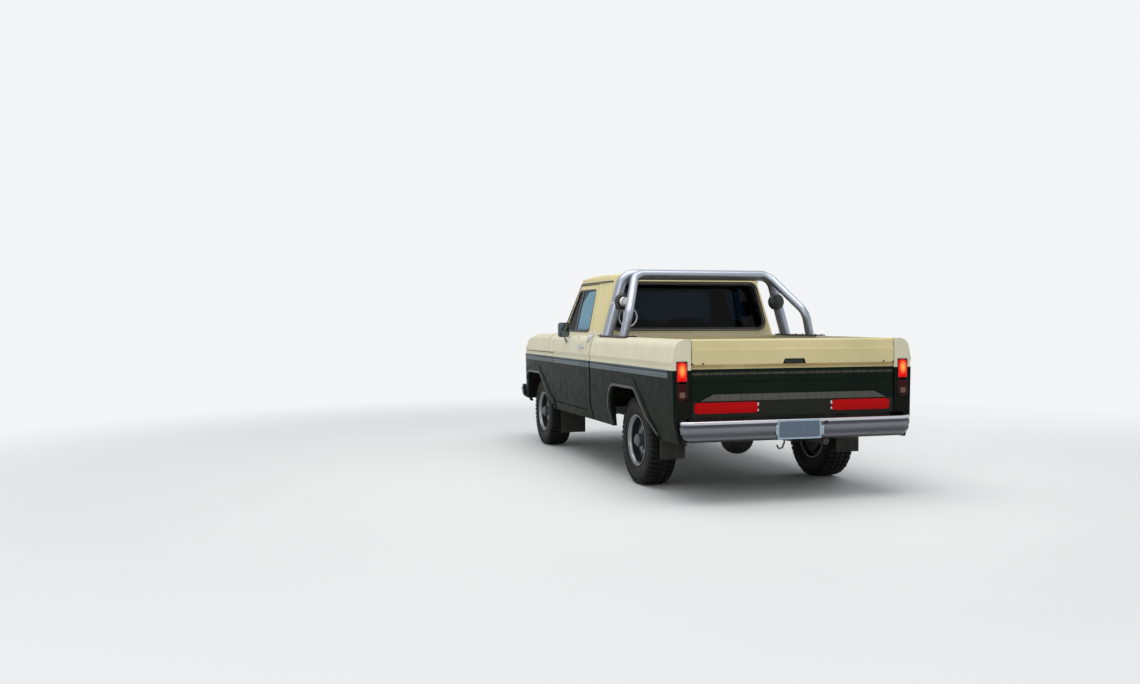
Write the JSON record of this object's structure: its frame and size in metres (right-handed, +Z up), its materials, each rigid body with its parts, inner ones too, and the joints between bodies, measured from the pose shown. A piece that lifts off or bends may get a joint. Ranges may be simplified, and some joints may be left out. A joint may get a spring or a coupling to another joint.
{
  "type": "pickup truck",
  "caption": "Full-size regular-cab pickup truck with a short load bed, roll bar with lamps, opening doors, hood and tailgate, steered front wheels.",
  "frame": {"origin": "on the ground under the middle of the truck's length and width", "axes": "+X forward along the truck, +Y to its left side, +Z up"},
  "size_m": [4.953, 2.1538, 1.8204],
  "materials": {
    "paint_cream": "glossy paint, slightly aged",
    "paint_green": "glossy dark paint",
    "black_paint": "satin black paint",
    "chrome": "polished plate",
    "stainless": "polished stainless tube",
    "wheel_silver": "silver paint",
    "tyre": "matt rubber",
    "rubber": "matt rubber sheet",
    "glass": "clear tinted glass",
    "lamp_glass": "moulded red lens",
    "headlamp": "ribbed clear lens",
    "vinyl": "dark vinyl",
    "black_plastic": "grained black plastic",
    "raw_steel": "dull dark steel",
    "engine": "painted casting"
  },
  "bodies": {
    "chassis": {"bed_floor": "paint_cream", "bed_side_left": "paint_green", "bed_side_right": "paint_green", "tail_lamps": "lamp_glass", "cab_back": "paint_cream", "cab_cowl": "paint_green", "cab_floor": "paint_green", "cab_roof": "paint_cream", "windshield": "glass", "rear_window": "glass", "fender_left": "paint_green", "fender_right": "paint_green", "front_panel": "paint_green", "grille": "chrome", "headlamps": "headlamp", "bumper_front": "black_paint", "bumper_rear": "chrome", "side_trim": "chrome", "roll_bar": "stainless", "roll_bar_feet": "black_paint", "roll_bar_lamps": "black_plastic", "mudflaps": "rubber", "exhaust": "raw_steel", "engine": "engine", "frame_rails": "black_paint", "crossmembers": "black_paint", "rear_axle": "raw_steel", "front_axle": "raw_steel", "springs": "black_paint", "seat_cushion": "vinyl", "seat_back": "vinyl", "dashboard": "black_plastic", "steering_wheel": "black_plastic"},
    "door_left": {"door_left": "paint_green", "door_glass_left": "glass", "door_trim_left": "chrome"},
    "door_right": {"door_right": "paint_green", "door_glass_right": "glass", "door_trim_right": "chrome"},
    "hood": {"hood": "paint_cream"},
    "tailgate": {"tailgate": "paint_cream", "tailgate_trim": "lamp_glass"},
    "steering_left": {"knuckle_left": "raw_steel"},
    "steering_right": {"knuckle_right": "raw_steel"},
    "wheel_front_left": {"rim_front_left": "wheel_silver", "tyre_front_left": "tyre"},
    "wheel_front_right": {"rim_front_right": "wheel_silver", "tyre_front_right": "tyre"},
    "wheel_rear_left": {"rim_rear_left": "wheel_silver", "tyre_rear_left": "tyre"},
    "wheel_rear_right": {"rim_rear_right": "wheel_silver", "tyre_rear_right": "tyre"}
  },
  "joints": [
    {"name": "door_left_hinge", "type": "hinge", "parent": "chassis", "child": "door_left", "pos_m": [0.8155, 0.985, 0.905], "axis": [0, 0, -1], "range_deg": [0, 68]},
    {"name": "door_right_hinge", "type": "hinge", "parent": "chassis", "child": "door_right", "pos_m": [0.8155, -0.985, 0.905], "axis": [0, 0, 1], "range_deg": [0, 68]},
    {"name": "hood_hinge", "type": "hinge", "parent": "chassis", "child": "hood", "pos_m": [1.0865, 0, 1.209], "axis": [0, -1, 0], "range_deg": [0, 50]},
    {"name": "tailgate_hinge", "type": "hinge", "parent": "chassis", "child": "tailgate", "pos_m": [-2.3665, 0, 0.662], "axis": [0, -1, 0], "range_deg": [0, 90]},
    {"name": "steer_left", "type": "hinge", "parent": "chassis", "child": "steering_left", "pos_m": [1.6105, 0.712, 0.35], "axis": [0, 0, 1], "range_deg": [-28, 28]},
    {"name": "steer_right", "type": "hinge", "parent": "chassis", "child": "steering_right", "pos_m": [1.6105, -0.712, 0.35], "axis": [0, 0, 1], "range_deg": [-28, 28]},
    {"name": "spin_front_left", "type": "hinge", "parent": "steering_left", "child": "wheel_front_left", "pos_m": [1.6105, 0.7975, 0.365], "axis": [0, 1, 0], "continuous": true},
    {"name": "spin_front_right", "type": "hinge", "parent": "steering_right", "child": "wheel_front_right", "pos_m": [1.6105, -0.7975, 0.365], "axis": [0, 1, 0], "continuous": true},
    {"name": "spin_rear_left", "type": "hinge", "parent": "chassis", "child": "wheel_rear_left", "pos_m": [-1.3565, 0.7975, 0.365], "axis": [0, 1, 0], "continuous": true},
    {"name": "spin_rear_right", "type": "hinge", "parent": "chassis", "child": "wheel_rear_right", "pos_m": [-1.3565, -0.7975, 0.365], "axis": [0, 1, 0], "continuous": true}
  ],
  "couplings": [
    {"joint": "steer_right", "follows": "steer_left", "ratio": 1}
  ]
}
